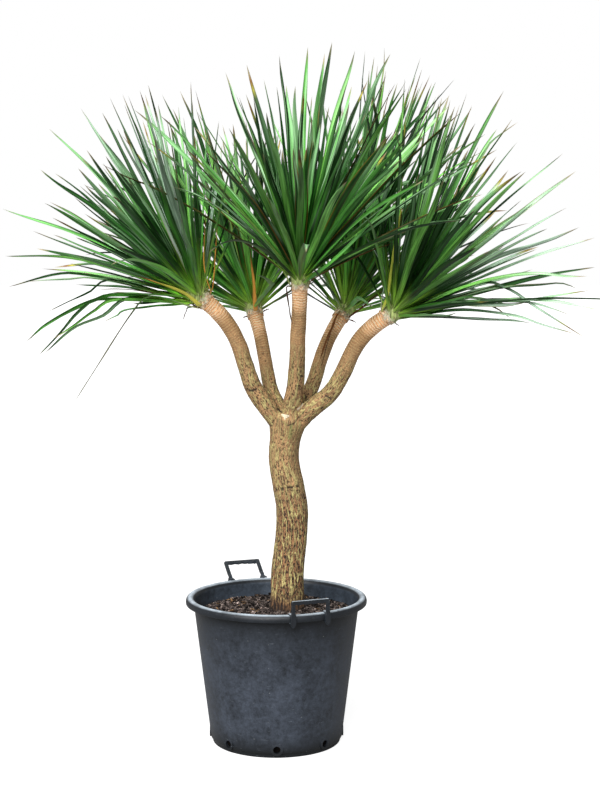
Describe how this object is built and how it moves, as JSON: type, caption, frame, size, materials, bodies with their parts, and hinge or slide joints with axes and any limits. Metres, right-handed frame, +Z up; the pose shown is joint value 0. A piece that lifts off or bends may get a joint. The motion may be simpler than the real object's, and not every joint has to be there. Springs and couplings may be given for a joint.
{
  "type": "potted dragon tree",
  "caption": "Dragon tree with a bent, branching trunk and tufts of sword-shaped leaves, standing in a round black nursery tub with clip-on carrying handles.",
  "frame": {"origin": "on the floor, at the middle of the tub's flat base", "axes": "+Z up along the tub's axis, -Y towards the viewer of the picture, +X to the viewer's right"},
  "size_m": [1.7636, 1.52, 1.8939],
  "materials": {
    "black_plastic": "matte",
    "earth": "matte",
    "bark": "matte",
    "green_leaf": "satin",
    "dry_leaf": "matte"
  },
  "bodies": {
    "root": {"tub": "black_plastic", "handle_front": "black_plastic", "handle_back": "black_plastic", "soil": "earth", "trunk": "bark", "head_centre": "green_leaf", "head_left": "green_leaf", "head_right": "green_leaf", "head_back_left": "green_leaf", "head_back_right": "green_leaf", "collar_centre": "dry_leaf", "collar_left": "dry_leaf", "collar_right": "dry_leaf", "collar_back_left": "dry_leaf", "collar_back_right": "dry_leaf"}
  },
  "joints": []
}
